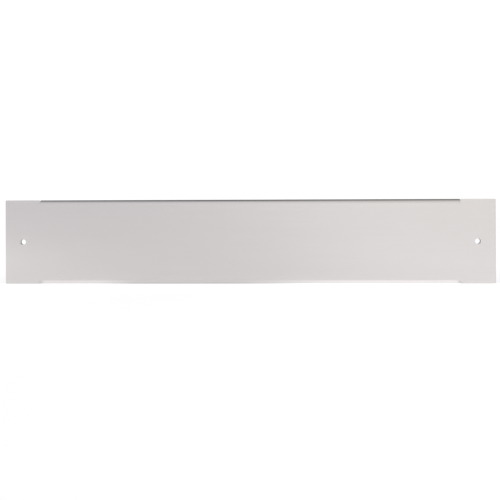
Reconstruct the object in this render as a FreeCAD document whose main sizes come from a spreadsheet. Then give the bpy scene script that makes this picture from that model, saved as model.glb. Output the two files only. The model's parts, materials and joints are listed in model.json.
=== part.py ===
import FreeCAD, Part
import math
import os

import Sketcher
from FreeCAD import Vector

# A kick plate for the foot of a built-in appliance: one folded stainless sheet, with a spacer bush
# behind each of its two screw holes.
#
# Frame: X runs along the plate, +Z is up and the show face looks towards -Y. The origin is midway
# between the screw holes, on the plane of the bushes' rear faces, where the plate seats.

# The driving dimensions in millimetres: alias, value, meaning.
DIMENSIONS = [
    ("panel_length", 598, "overall length of the plate"),
    ("panel_height", 102.5, "overall height of the plate"),
    ("panel_depth", 16, "show face to the free edge of a flange"),
    ("sheet_thickness", 1, "thickness of the stainless sheet"),
    ("bend_radius", 5, "outer radius of both folds"),
    ("ear_length", 42.5, "flat end beyond the flanges, at each side"),
    ("slit_width", 0.2, "shear cut between a flange and an ear"),
    ("slit_overrun", 0.5, "how far a shear cut runs past the tangent line of its fold"),
    ("ear_corner_radius", 1, "outer corners of the ears"),
    ("flange_corner_radius", 4, "free corners of the flanges"),
    ("edge_break", 0.2, "rolled edge round the show face of an ear and its hole"),
    ("hole_diameter", 7, "screw hole in the sheet, and bore of the bush behind it"),
    ("hole_spacing", 555, "distance between the two screw holes"),
    ("bush_diameter", 15, "outer diameter of a spacer bush"),
    ("bush_length", 5, "length of a spacer bush, from the sheet to where the plate seats"),
    ("bush_chamfer", 0.6, "chamfer round the rear rim of a bush"),
]

START, END, CENTRE = 1, 2, 3  # the points of a sketch line or arc
H_AXIS = -1  # a sketch's horizontal axis, which starts at the sketch's origin
ORIGIN = (H_AXIS, START)
TOLERANCE = 1e-4

doc = FreeCAD.newDocument("kick_plate")


def make_sheet():
    """The spreadsheet of driving dimensions, one row each."""
    sheet = doc.addObject("Spreadsheet::Sheet", "Sizes")
    for row, (alias, value, meaning) in enumerate(DIMENSIONS, start=1):
        sheet.set(f"A{row}", alias)
        sheet.set(f"B{row}", str(value))
        sheet.set(f"C{row}", meaning)
        sheet.setAlias(f"B{row}", alias)
    doc.recompute()
    return sheet


sizes = make_sheet()
half_length = sizes.panel_length / 2
half_height = sizes.panel_height / 2
flange_end_x = half_length - sizes.ear_length
front_y = -(sizes.bush_length + sizes.sheet_thickness)
flange_tip_y = front_y + sizes.panel_depth


# ---- helpers ----


def new_body(label):
    body = doc.addObject("PartDesign::Body", label)
    body.Label = label
    return body


def origin_plane(body, role):
    return next(plane for plane in body.Origin.OriginFeatures if plane.Role == role)


def new_sketch(body, name, plane, offset=None):
    """A sketch on one of the body's origin planes, moved along its normal by an expression."""
    sketch = body.newObject("Sketcher::SketchObject", name)
    sketch.AttachmentSupport = [(origin_plane(body, plane), "")]
    sketch.MapMode = "FlatFace"
    if offset:
        sketch.setExpression("AttachmentOffset.Base.z", offset)
    return sketch


def add_line(sketch, start, end):
    return sketch.addGeometry(Part.LineSegment(Vector(*start, 0), Vector(*end, 0)), False)


def add_circle(sketch, centre, radius):
    return sketch.addGeometry(Part.Circle(Vector(*centre, 0), Vector(0, 0, 1), radius), False)


def add_arc(sketch, centre, radius, first_degrees, last_degrees):
    circle = Part.Circle(Vector(*centre, 0), Vector(0, 0, 1), radius)
    angles = math.radians(first_degrees), math.radians(last_degrees)
    return sketch.addGeometry(Part.ArcOfCircle(circle, *angles), False)


def relate(sketch, kind, *where):
    sketch.addConstraint(Sketcher.Constraint(kind, *where))


def dimension(sketch, name, kind, where, value, expression):
    """A named dimension, bound to an expression over the sheet. The value is where it starts."""
    index = sketch.addConstraint(Sketcher.Constraint(kind, *where, value))
    sketch.renameConstraint(index, name)
    sketch.setExpression("Constraints." + name, expression)


def add_pad(body, name, sketch, length, side_type="One side", reverse=False):
    pad = body.newObject("PartDesign::Pad", name)
    pad.Profile = sketch
    pad.SideType = side_type
    pad.Reversed = reverse
    pad.setExpression("Length", length)
    doc.recompute()
    return pad


def add_mirror(body, name, originals):
    """Repeats features on the other side of the plate's middle."""
    mirror = body.newObject("PartDesign::Mirrored", name)
    mirror.Originals = originals
    mirror.MirrorPlane = (origin_plane(body, "YZ_Plane"), [""])
    body.Tip = mirror
    doc.recompute()
    return mirror


def add_edge_feature(body, kind, name, size_property, size, test):
    """A Fillet or Chamfer on each edge that passes the test, given its two ends and its middle."""
    base = body.Tip
    edges = [f"Edge{i}" for i, edge in enumerate(base.Shape.Edges, start=1)
             if test(*edge.discretize(3))]
    if not edges:
        raise RuntimeError(f"{name}: no edge found")
    feature = body.newObject("PartDesign::" + kind, name)
    feature.Base = (base, edges)
    feature.setExpression(size_property, size)
    doc.recompute()
    return feature


def same(a, b):
    return abs(a - b) < TOLERANCE


# ---- the folded panel ----


def section_sketch(body):
    """The section across the flanged stretch: the face between two folds, each with its flange.

    The two layers are the sheet's outer and inner surfaces. Sketch X is the plate's Y and
    sketch Y is its Z.
    """
    sketch = new_sketch(body, "section", "YZ_Plane")
    fold_y = front_y + sizes.bend_radius
    fold_z = half_height - sizes.bend_radius
    arcs, flanges, tips = {}, {}, {}

    faces = {}
    for layer, inset in (("outer", 0), ("inner", sizes.sheet_thickness)):
        face_y = front_y + inset
        faces[layer] = add_line(sketch, (face_y, -fold_z), (face_y, fold_z))
        relate(sketch, "Vertical", faces[layer])
        for side in (1, -1):
            flange_z = side * (half_height - inset)
            angles = (90, 180) if side == 1 else (180, 270)
            arc = add_arc(sketch, (fold_y, side * fold_z), sizes.bend_radius - inset, *angles)
            flange = add_line(sketch, (fold_y, flange_z), (flange_tip_y, flange_z))
            flange_point, face_point = (START, END) if side == 1 else (END, START)
            relate(sketch, "Tangent", arc, flange_point, flange, START)
            relate(sketch, "Tangent", arc, face_point, faces[layer], face_point)
            relate(sketch, "Horizontal", flange)
            arcs[layer, side], flanges[layer, side] = arc, flange

    for side in (1, -1):
        tip = add_line(sketch, (flange_tip_y, side * half_height),
                       (flange_tip_y, side * (half_height - sizes.sheet_thickness)))
        relate(sketch, "Coincident", tip, START, flanges["outer", side], END)
        relate(sketch, "Coincident", tip, END, flanges["inner", side], END)
        relate(sketch, "Vertical", tip)
        relate(sketch, "Coincident", arcs["outer", side], CENTRE, arcs["inner", side], CENTRE)
        tips[side] = tip

    relate(sketch, "Symmetric", tips[1], START, tips[-1], START, H_AXIS)
    relate(sketch, "Equal", arcs["outer", 1], arcs["outer", -1])
    dimension(sketch, "radius", "Radius", (arcs["outer", 1],), sizes.bend_radius,
              "Sizes.bend_radius")
    dimension(sketch, "thickness", "DistanceY", (tips[1], END, tips[1], START),
              sizes.sheet_thickness, "Sizes.sheet_thickness")
    dimension(sketch, "height", "DistanceY", (tips[-1], START, tips[1], START),
              sizes.panel_height, "Sizes.panel_height")
    dimension(sketch, "depth", "DistanceX", (faces["outer"], START, tips[1], START),
              sizes.panel_depth, "Sizes.panel_depth")
    dimension(sketch, "seat", "DistanceX", (faces["outer"], START, *ORIGIN),
              -front_y, "Sizes.bush_length + Sizes.sheet_thickness")
    return sketch


def ear_sketch(body):
    """The outline of the right ear: full height, with a neck between its two shear cuts."""
    sketch = new_sketch(body, "ear_outline", "XZ_Plane",
                        "Sizes.bush_length + Sizes.sheet_thickness")
    slit_x = flange_end_x + sizes.slit_width
    neck_z = half_height - sizes.bend_radius - sizes.slit_overrun
    corners = [(flange_end_x, -neck_z), (slit_x, -neck_z), (slit_x, -half_height),
               (half_length, -half_height), (half_length, half_height),
               (slit_x, half_height), (slit_x, neck_z), (flange_end_x, neck_z)]
    lines = [add_line(sketch, a, b) for a, b in zip(corners, corners[1:] + corners[:1])]
    for line, following in zip(lines, lines[1:] + lines[:1]):
        relate(sketch, "Coincident", line, END, following, START)

    lower_neck, lower_slit, lower_edge, end, upper_edge, upper_slit, upper_neck, root = lines
    for line in (lower_neck, lower_edge, upper_edge, upper_neck):
        relate(sketch, "Horizontal", line)
    for line in (lower_slit, upper_slit):
        relate(sketch, "Vertical", line)
    for line in (end, root):
        relate(sketch, "Symmetric", line, START, line, END, H_AXIS)
    relate(sketch, "Vertical", lower_slit, START, upper_slit, END)
    dimension(sketch, "root", "DistanceX", (*ORIGIN, root, END), flange_end_x,
              "Sizes.panel_length / 2 - Sizes.ear_length")
    dimension(sketch, "slit", "DistanceX", (lower_neck, START, lower_neck, END),
              sizes.slit_width, "Sizes.slit_width")
    dimension(sketch, "end", "DistanceX", (*ORIGIN, end, START), half_length,
              "Sizes.panel_length / 2")
    dimension(sketch, "height", "DistanceY", (end, START, end, END), sizes.panel_height,
              "Sizes.panel_height")
    dimension(sketch, "neck", "DistanceY", (root, END, root, START), 2 * neck_z,
              "Sizes.panel_height - 2 * (Sizes.bend_radius + Sizes.slit_overrun)")
    return sketch


def circle_sketch(body, name, side, offset, diameters):
    """Circles round a screw's axis, at the right (side 1) or left (side -1) of the plate."""
    sketch = new_sketch(body, name, "XZ_Plane", offset)
    for number, diameter in enumerate(diameters):
        centre = (side * sizes.hole_spacing / 2, 0)
        circle = add_circle(sketch, centre, getattr(sizes, diameter) / 2)
        dimension(sketch, diameter, "Diameter", (circle,), getattr(sizes, diameter),
                  "Sizes." + diameter)
        if number:
            relate(sketch, "Coincident", circle, CENTRE, first, CENTRE)
        else:
            first = circle
            relate(sketch, "PointOnObject", circle, CENTRE, H_AXIS)
            ends = (*ORIGIN, circle, CENTRE) if side == 1 else (circle, CENTRE, *ORIGIN)
            dimension(sketch, "from_middle", "DistanceX", ends, sizes.hole_spacing / 2,
                      "Sizes.hole_spacing / 2")
    return sketch


def make_panel():
    body = new_body("panel")
    add_pad(body, "folded_stretch", section_sketch(body),
            "Sizes.panel_length - 2 * Sizes.ear_length", side_type="Symmetric")
    ear = add_pad(body, "ear", ear_sketch(body), "Sizes.sheet_thickness", reverse=True)

    hole = body.newObject("PartDesign::Pocket", "screw_hole")
    hole.Profile = circle_sketch(body, "hole_outline", 1, "Sizes.bush_length",
                                 ["hole_diameter"])
    hole.SideType = "Symmetric"
    hole.setExpression("Length", "4 * Sizes.sheet_thickness")
    doc.recompute()
    add_mirror(body, "both_ends", [ear, hole])

    def is_ear_corner(*points):
        return all(same(abs(p.x), half_length) and same(abs(p.z), half_height) for p in points)

    def is_flange_corner(*points):
        return all(same(abs(p.x), flange_end_x) and same(p.y, flange_tip_y) for p in points)

    def is_face_rim(*points):
        """The outer edges of the ears' show faces, and the rims of the holes."""
        past_slit = abs(points[1].x) > flange_end_x + sizes.slit_width + TOLERANCE
        return past_slit and all(same(p.y, front_y) for p in points)

    add_edge_feature(body, "Fillet", "ear_corners", "Radius", "Sizes.ear_corner_radius",
                     is_ear_corner)
    add_edge_feature(body, "Fillet", "flange_corners", "Radius", "Sizes.flange_corner_radius",
                     is_flange_corner)
    add_edge_feature(body, "Fillet", "rolled_edges", "Radius", "Sizes.edge_break", is_face_rim)
    return body


# ---- the spacer bushes ----


def make_bush(label, side):
    """A plain tube between the ear and the frame behind it, on the screw's axis."""
    body = new_body(label)
    outline = circle_sketch(body, label + "_outline", side, "Sizes.bush_length",
                            ["bush_diameter", "hole_diameter"])
    add_pad(body, label + "_tube", outline, "Sizes.bush_length", reverse=True)

    def is_rear_rim(*points):
        """The outer edge of the rear face. A circle's first and middle points are opposite."""
        first, middle, _ = points
        return same(first.y, 0) and same(first.distanceToPoint(middle), sizes.bush_diameter)

    add_edge_feature(body, "Chamfer", label + "_rim", "Size", "Sizes.bush_chamfer", is_rear_rim)
    return body


# ---- build, check and write ----


def check_volumes(panel, bushes):
    """Compares each volume with what its sizes give, so that no cut has missed its solid."""
    radius, thickness = sizes.bend_radius, sizes.sheet_thickness
    flat_face = (sizes.panel_height - 2 * radius) * thickness
    folds = 2 * math.pi / 4 * (radius ** 2 - (radius - thickness) ** 2)
    flanges = 2 * (sizes.panel_depth - radius) * thickness
    stretch = (flat_face + folds + flanges) * 2 * flange_end_x
    slits = 2 * sizes.slit_width * (radius + sizes.slit_overrun)
    hole = math.pi * sizes.hole_diameter ** 2 / 4
    ears = 2 * (sizes.ear_length * sizes.panel_height - slits - hole) * thickness
    bush = math.pi / 4 * (sizes.bush_diameter ** 2 - sizes.hole_diameter ** 2) * sizes.bush_length
    for body, expected in [(panel, stretch + ears)] + [(each, bush) for each in bushes]:
        found = body.Shape.Volume
        print(f"{body.Label}: {found:.1f} mm3, {expected:.1f} before rounding its edges")
        if abs(found / expected - 1) > 0.02:
            raise RuntimeError(body.Label + ": wrong volume")


panel = make_panel()
bushes = [make_bush("left_spacer_bush", -1), make_bush("right_spacer_bush", 1)]
doc.recompute()

for item in doc.Objects:
    if {"Invalid", "Error"} & set(item.State):
        raise RuntimeError(f"{item.Name}: {item.State}")
    if item.TypeId == "Sketcher::SketchObject" and not item.FullyConstrained:
        raise RuntimeError(f"{item.Name}: not fully constrained")
check_volumes(panel, bushes)

os.makedirs("parts", exist_ok=True)
for body in [panel] + bushes:
    shape = body.Shape
    if shape.isNull() or not shape.isValid() or len(shape.Solids) != 1:
        raise RuntimeError(body.Label + ": bad shape")
    shape.exportStep(f"parts/{body.Label}.step")
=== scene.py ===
import json
import math

import bpy
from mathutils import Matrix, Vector


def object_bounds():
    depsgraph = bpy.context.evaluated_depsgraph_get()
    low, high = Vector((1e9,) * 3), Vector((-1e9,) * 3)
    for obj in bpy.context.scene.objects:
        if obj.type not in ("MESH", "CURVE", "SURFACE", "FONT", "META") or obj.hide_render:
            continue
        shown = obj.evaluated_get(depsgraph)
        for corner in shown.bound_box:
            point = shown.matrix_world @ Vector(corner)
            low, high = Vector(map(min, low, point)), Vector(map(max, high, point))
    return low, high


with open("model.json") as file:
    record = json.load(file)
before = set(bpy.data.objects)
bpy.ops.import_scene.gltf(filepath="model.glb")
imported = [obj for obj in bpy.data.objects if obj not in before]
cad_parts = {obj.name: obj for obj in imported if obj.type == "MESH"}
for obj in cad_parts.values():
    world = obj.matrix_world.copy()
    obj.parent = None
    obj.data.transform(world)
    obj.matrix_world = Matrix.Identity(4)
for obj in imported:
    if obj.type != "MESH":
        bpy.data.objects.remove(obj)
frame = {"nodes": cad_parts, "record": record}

cad_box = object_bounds()
low, high = cad_box
panel = frame["nodes"]["panel"]
bushes = [frame["nodes"]["left_spacer_bush"], frame["nodes"]["right_spacer_bush"]]
face_y = low.y
flange_end = max(v.co.x for v in panel.data.vertices if v.co.y > (low.y + high.y) / 2)

FLOOR_GAP = 0.0002
floor_z = low.z - FLOOR_GAP

holes = next(m for m in frame["record"]["mounts"] if m["name"] == "fixing_holes")["dims"]
HOLE_X = holes["spacing_x_mm"] / 2000
HOLE_RADIUS = holes["hole_r_mm"] / 1000

POLISHED_DARK = (0.578, 0.555, 0.552, 1)
POLISHED_LIGHT = (0.618, 0.593, 0.590, 1)
MILL_DARK = (0.50, 0.49, 0.485, 1)
MILL_LIGHT = (0.56, 0.55, 0.545, 1)
WORN_STEEL = (0.72, 0.705, 0.70, 1)
WEAR_WIDTH = 0.0009
GRAIN_SCALE = (60, 4200, 4200)
LONG_GRAIN_SCALE = (12, 1100, 1100)
CLOUD_SCALE = (7, 16, 16)
STEEL_RELIEF = 0.00001

NYLON_DARK = (0.43, 0.43, 0.435, 1)
NYLON_LIGHT = (0.49, 0.49, 0.495, 1)
NYLON_RUBBED = (0.54, 0.54, 0.545, 1)
NYLON_RELIEF = 0.00003
RIM_DEPTH = 0.0009

TABLE_LIGHT = 0.53
# share of the floor's self-light left in the painted shadow under the plate
PAINTED_SHADE_UNDER_PLATE = 0.3
# strengths of the painted pools of light on the floor along the plate's foot
PAINTED_FOOT_LIGHT_LEFT = 0.26
PAINTED_FOOT_LIGHT_MIDDLE = 0.08
PAINTED_FOOT_LIGHT_RIGHT = 0.46
FRONT_SHARE = 0.3
# strengths of the painted light on the floor behind the plate and far out at its right
PAINTED_LIGHT_BEHIND = 0.08
PAINTED_LIGHT_FAR_RIGHT = 0.17


# ---- node helpers ----


class Nodes:
    """A thin wrapper that adds nodes to a tree and links them by socket name or number."""

    def __init__(self, tree):
        self.tree = tree

    def add(self, kind, inputs=None, **settings):
        node = self.tree.nodes.new(kind)
        for key, value in settings.items():
            setattr(node, key, value)
        for key, value in (inputs or {}).items():
            self.give(node, key, value)
        return node

    def give(self, node, key, value):
        if isinstance(value, bpy.types.NodeSocket):
            self.tree.links.new(value, node.inputs[key])
        else:
            node.inputs[key].default_value = value

    def math(self, operation, a, b=0.0):
        return self.add("ShaderNodeMath", {0: a, 1: b}, operation=operation).outputs[0]

    def noise(self, vector, scale, detail=2.0, roughness=0.5):
        node = self.add("ShaderNodeTexNoise", {
            "Vector": vector, "Scale": scale, "Detail": detail, "Roughness": roughness})
        return node.outputs["Fac"]

    def stretched(self, vector, scale):
        node = self.add("ShaderNodeMapping", {"Vector": vector, "Scale": scale})
        return node.outputs["Vector"]

    def remap(self, value, out_low, out_high, in_low=0.0, in_high=1.0, smooth=False):
        node = self.add("ShaderNodeMapRange", {
            "Value": value, "From Min": in_low, "From Max": in_high,
            "To Min": out_low, "To Max": out_high},
            interpolation_type="SMOOTHSTEP" if smooth else "LINEAR")
        return node.outputs["Result"]

    def mix(self, factor, a, b):
        node = self.add("ShaderNodeMix", data_type="RGBA")
        self.give(node, "Factor", factor)
        self.give(node, 6, a)
        self.give(node, 7, b)
        return node.outputs[2]

    def blend(self, factor, a, b):
        """Mixes two plain values, where mix mixes two colours."""
        node = self.add("ShaderNodeMix", {"Factor": factor}, data_type="FLOAT")
        self.give(node, 2, a)
        self.give(node, 3, b)
        return node.outputs[0]


def new_material(name):
    """A material with a plain Principled shader: (material, its node adder, the shader)."""
    material = bpy.data.materials.new(name)
    material.use_nodes = True
    shader = material.node_tree.nodes["Principled BSDF"]
    return material, Nodes(material.node_tree), shader


# ---- materials ----


def edge_wear(n, place):
    """How worn the steel is, from 0 to 1.

    It is most worn at the plate's ends, its hole rims, its ears' long edges and its flanges' outer sides.
    """
    axes = n.add("ShaderNodeSeparateXYZ", {0: place}).outputs
    across = n.math("ABSOLUTE", axes["X"])
    up = n.math("ABSOLUTE", axes["Z"])
    from_end = n.math("SUBTRACT", high.x, across)
    from_edge = n.math("SUBTRACT", high.z, up)
    hole_x = n.math("SUBTRACT", across, HOLE_X)
    squares = n.math("ADD", n.math("POWER", hole_x, 2.0), n.math("POWER", axes["Z"], 2.0))
    from_hole = n.math("SUBTRACT", n.math("SQRT", squares), HOLE_RADIUS)
    nearest = n.math("MINIMUM", n.math("MINIMUM", from_end, from_edge), from_hole)
    ragged = n.remap(n.noise(place, 700, detail=3), 0.3, 1.7)
    return n.remap(nearest, 1.0, 0.0, 0.0, n.math("MULTIPLY", ragged, WEAR_WIDTH), smooth=True)


def show_side(n, place):
    """1 on the polished side of the sheet, 0 on its back and inside the channel."""
    z = n.add("ShaderNodeSeparateXYZ", {0: place}).outputs["Z"]
    facing = n.add("ShaderNodeTexCoord").outputs["Normal"]
    normal = n.add("ShaderNodeSeparateXYZ", {0: facing}).outputs
    outward = n.math("MULTIPLY", n.math("SIGN", z), normal["Z"])
    return n.remap(n.math("SUBTRACT", outward, normal["Y"]), 0.0, 1.0, -0.1, 0.1)


def satin_stainless():
    """Satin stainless sheet: fine grain along the plate on the show side, plain mill finish behind."""
    material, n, shader = new_material("satin_stainless")
    place = n.add("ShaderNodeTexCoord").outputs["Object"]
    grain = n.noise(n.stretched(place, GRAIN_SCALE), 1.0, detail=3, roughness=0.6)
    long_grain = n.noise(n.stretched(place, LONG_GRAIN_SCALE), 1.0)
    cloud = n.noise(n.stretched(place, CLOUD_SCALE), 1.0, detail=3)
    mill = n.noise(place, 1600, detail=4, roughness=0.7)
    show = show_side(n, place)
    wear = edge_wear(n, place)

    brushed = n.math("ADD", n.math("MULTIPLY", grain, 0.6), n.math("MULTIPLY", long_grain, 0.4))
    brushed = n.remap(brushed, 0.0, 1.0, 0.3, 0.7)
    polished = n.mix(brushed, POLISHED_DARK, POLISHED_LIGHT)
    rolled = n.mix(mill, MILL_DARK, MILL_LIGHT)
    steel = n.mix(show, rolled, polished)
    n.give(shader, "Base Color", n.mix(n.math("MULTIPLY", wear, 0.5), steel, WORN_STEEL))

    satin = n.math("ADD", n.remap(cloud, 0.185, 0.225, 0.3, 0.7), n.remap(brushed, -0.02, 0.03))
    dull = n.remap(mill, 0.30, 0.36)
    unworn = n.blend(show, dull, satin)
    n.give(shader, "Roughness", n.math("SUBTRACT", unworn, n.math("MULTIPLY", wear, 0.05)))
    n.give(shader, "Metallic", 1.0)

    relief = n.blend(show, mill, brushed)
    bump = n.add("ShaderNodeBump", {"Height": relief, "Strength": 0.2, "Distance": STEEL_RELIEF})
    n.give(shader, "Normal", bump.outputs[0])
    return material


def moulded_nylon():
    """Matt grey nylon: faint flow mottle, the moulding's fine texture and a paler rubbed rear rim."""
    material, n, shader = new_material("moulded_nylon")
    place = n.add("ShaderNodeTexCoord").outputs["Object"]
    mottle = n.noise(place, 500, detail=4)
    fine = n.noise(place, 7000, detail=2)
    depth = n.add("ShaderNodeSeparateXYZ", {0: place}).outputs["Y"]
    rubbed = n.remap(depth, 0.0, 0.6, -RIM_DEPTH, 0.0, smooth=True)
    grey = n.mix(n.remap(mottle, 0.0, 1.0, 0.3, 0.7), NYLON_DARK, NYLON_LIGHT)
    n.give(shader, "Base Color", n.mix(rubbed, grey, NYLON_RUBBED))
    n.give(shader, "Roughness", n.remap(mottle, 0.48, 0.62, 0.3, 0.7))
    bump = n.add("ShaderNodeBump", {"Height": fine, "Strength": 0.3, "Distance": NYLON_RELIEF})
    n.give(shader, "Normal", bump.outputs[0])
    return material


def dress(node, material):
    """Puts the material in every slot of the node."""
    for slot in node.material_slots:
        slot.material = material


dress(panel, satin_stainless())
nylon = moulded_nylon()
for bush in bushes:
    dress(bush, nylon)


# ---- floor, light and camera ----


def painted_floor_light(n):
    """The floor's self-lit strength at each place, with painted light and shade in it.

    It has a painted shadow underneath the flanged stretch and painted pools of light along the plate's
    foot, most of all towards its ends. It has a little painted light behind the plate, and far out in
    front of it at the right.
    """
    bend_lit, bend_dim = face_y + 0.0035, face_y + 0.007
    left_full, left_end = -0.19, -0.13
    right_start, right_full = -0.03, 0.12
    place = n.add("ShaderNodeNewGeometry").outputs["Position"]
    axes = n.add("ShaderNodeSeparateXYZ", {0: place}).outputs
    x, y = axes["X"], axes["Y"]
    # 1 where the floor is outside the painted shadow under the flanged stretch
    beside = n.remap(n.math("ABSOLUTE", x), 0.0, 1.0, flange_end - 0.003, flange_end)
    before = n.remap(y, 1.0, 0.0, bend_lit, bend_dim, smooth=True)
    behind = n.remap(y, 0.0, 1.0, high.y, high.y + 0.004, smooth=True)
    outside_painted_shade = n.math("MAXIMUM", beside, n.math("MAXIMUM", before, behind))

    # painted pools of light on the floor along the plate's foot, strongest towards its ends
    right = n.remap(x, PAINTED_FOOT_LIGHT_MIDDLE, PAINTED_FOOT_LIGHT_RIGHT, right_start, right_full, smooth=True)
    left = n.remap(x, PAINTED_FOOT_LIGHT_LEFT, 0.0, left_full, left_end, smooth=True)
    close = n.remap(y, 0.0, 1.0, face_y - 0.014, face_y - 0.003, smooth=True)
    near = n.remap(y, 0.0, FRONT_SHARE, face_y - 0.16, face_y, smooth=True)
    foot = n.math("MULTIPLY", before, n.math("MAXIMUM", n.math("SUBTRACT", close, beside), near))
    painted_pools = n.math("MULTIPLY", foot, n.math("ADD", left, right))
    # painted light on the floor behind the plate and far out in front of it at the right
    back = n.remap(y, 0.0, PAINTED_LIGHT_BEHIND, high.y, high.y + 0.3, smooth=True)
    to_right = n.remap(x, 0.0, 1.0, -0.2, 0.4, smooth=True)
    far_out = n.remap(y, PAINTED_LIGHT_FAR_RIGHT, 0.0, -1.6, -0.6, smooth=True)
    painted_far_right_light = n.math("MULTIPLY", to_right, far_out)
    # painted shadow: the floor's self-light drops to a share of itself under the plate
    table = n.remap(outside_painted_shade, PAINTED_SHADE_UNDER_PLATE * TABLE_LIGHT, TABLE_LIGHT)
    return n.math("ADD", n.math("ADD", table, painted_far_right_light), n.math("ADD", painted_pools, back))


def make_floor():
    """The floor that the plate stands on: a wide, dull, pale plane that is mostly self-lit, with painted
    shade and painted pools of light in its glow.
    """
    bpy.ops.mesh.primitive_plane_add(size=60, location=(0, 0, floor_z))
    floor = bpy.context.object
    floor.name = "floor"
    material, n, shader = new_material("pale_floor")
    n.give(shader, "Base Color", (0.4, 0.4, 0.4, 1))
    n.give(shader, "Roughness", 0.9)
    n.give(shader, "Emission Color", (1, 1, 1, 1))
    n.give(shader, "Emission Strength", painted_floor_light(n))
    floor.data.materials.append(material)


def make_world():
    """A white room, which the camera itself sees as plain white.

    It is darker overhead, most of all behind the plate, a little darker at the left, and brighter low
    down at the right.
    """
    level_light, overhead_light = 1.05, 0.43
    left_light, right_light_low, right_light_high = 0.905, 1.235, 1.03
    left_tint, right_tint = (1.0, 0.99, 1.03, 1), (1.0, 0.992, 0.958, 1)
    world = bpy.data.worlds.new("studio")
    bpy.context.scene.world = world
    world.use_nodes = True
    n = Nodes(world.node_tree)
    world.node_tree.nodes.clear()
    direction = n.add("ShaderNodeTexCoord").outputs["Generated"]
    x, y, z = n.add("ShaderNodeSeparateXYZ", {0: direction}).outputs
    elevation = n.math("ARCSINE", z)
    dome = n.remap(elevation, level_light, overhead_light, math.radians(28), math.radians(96), smooth=True)
    behind = n.remap(n.math("MULTIPLY", y, z), 1.0, 0.25, 0.0, 0.4, smooth=True)
    bright_side = n.remap(elevation, right_light_low, right_light_high, math.radians(1), math.radians(15))
    side = n.remap(x, left_light, bright_side, -0.26, 0.13, smooth=True)
    room = n.math("MULTIPLY", n.math("MULTIPLY", dome, behind), side)
    warmth = n.remap(x, 0.0, 1.0, -0.35, 0.35, smooth=True)
    tint = n.mix(warmth, left_tint, right_tint)
    is_camera = n.add("ShaderNodeLightPath").outputs["Is Camera Ray"]
    colour = n.mix(is_camera, tint, (1, 1, 1, 1))
    seen = n.remap(is_camera, room, 1.05)
    background = n.add("ShaderNodeBackground", {"Color": colour, "Strength": seen})
    output = n.add("ShaderNodeOutputWorld")
    n.give(output, "Surface", background.outputs[0])


def sun():
    """A very soft light from above the front, even over the whole floor and not mirrored in the steel."""
    data = bpy.data.lights.new("sun", "SUN")
    data.energy = 1.25
    data.angle = math.radians(70)
    light = bpy.data.objects.new("sun", data)
    light.rotation_euler = Vector((0, 0.6, -1)).to_track_quat("-Z", "Y").to_euler()
    light.visible_glossy = False
    bpy.context.scene.collection.objects.link(light)


def area_light(name, place, aim, size, power):
    """A softbox that lights the floor and the plastics but isn't mirrored in the steel."""
    data = bpy.data.lights.new(name, "AREA")
    data.shape = "RECTANGLE"
    data.size, data.size_y = size
    data.energy = power
    light = bpy.data.objects.new(name, data)
    light.location = place
    light.rotation_euler = (Vector(aim) - Vector(place)).to_track_quat("-Z", "Y").to_euler()
    light.visible_glossy = False
    light.visible_camera = False
    bpy.context.scene.collection.objects.link(light)


def make_camera():
    """Level, a little above the plate's middle and nearly square on, a touch turned and rolled."""
    distance, height, across = 0.900, 0.040, 0.0263
    roll, turn = math.radians(0.19), math.radians(1.561)
    data = bpy.data.cameras.new("camera")
    data.sensor_width = 36
    data.lens = 53.194
    data.shift_y = -0.0824
    camera = bpy.data.objects.new("camera", data)
    camera.location = (across, face_y - distance, height)
    camera.rotation_euler = (math.radians(90), roll, turn)
    bpy.context.scene.collection.objects.link(camera)
    bpy.context.scene.camera = camera


make_floor()
make_world()
sun()
area_light("right_pool", place=(0.34, -0.52, 0.16), aim=(0.34, -0.52, floor_z),
           size=(0.42, 0.9), power=1.35)
area_light("left_pool", place=(-0.60, -0.35, 0.16), aim=(-0.60, -0.30, floor_z),
           size=(0.3, 0.5), power=1.3)
make_camera()
bpy.context.scene.view_settings.view_transform = "Standard"
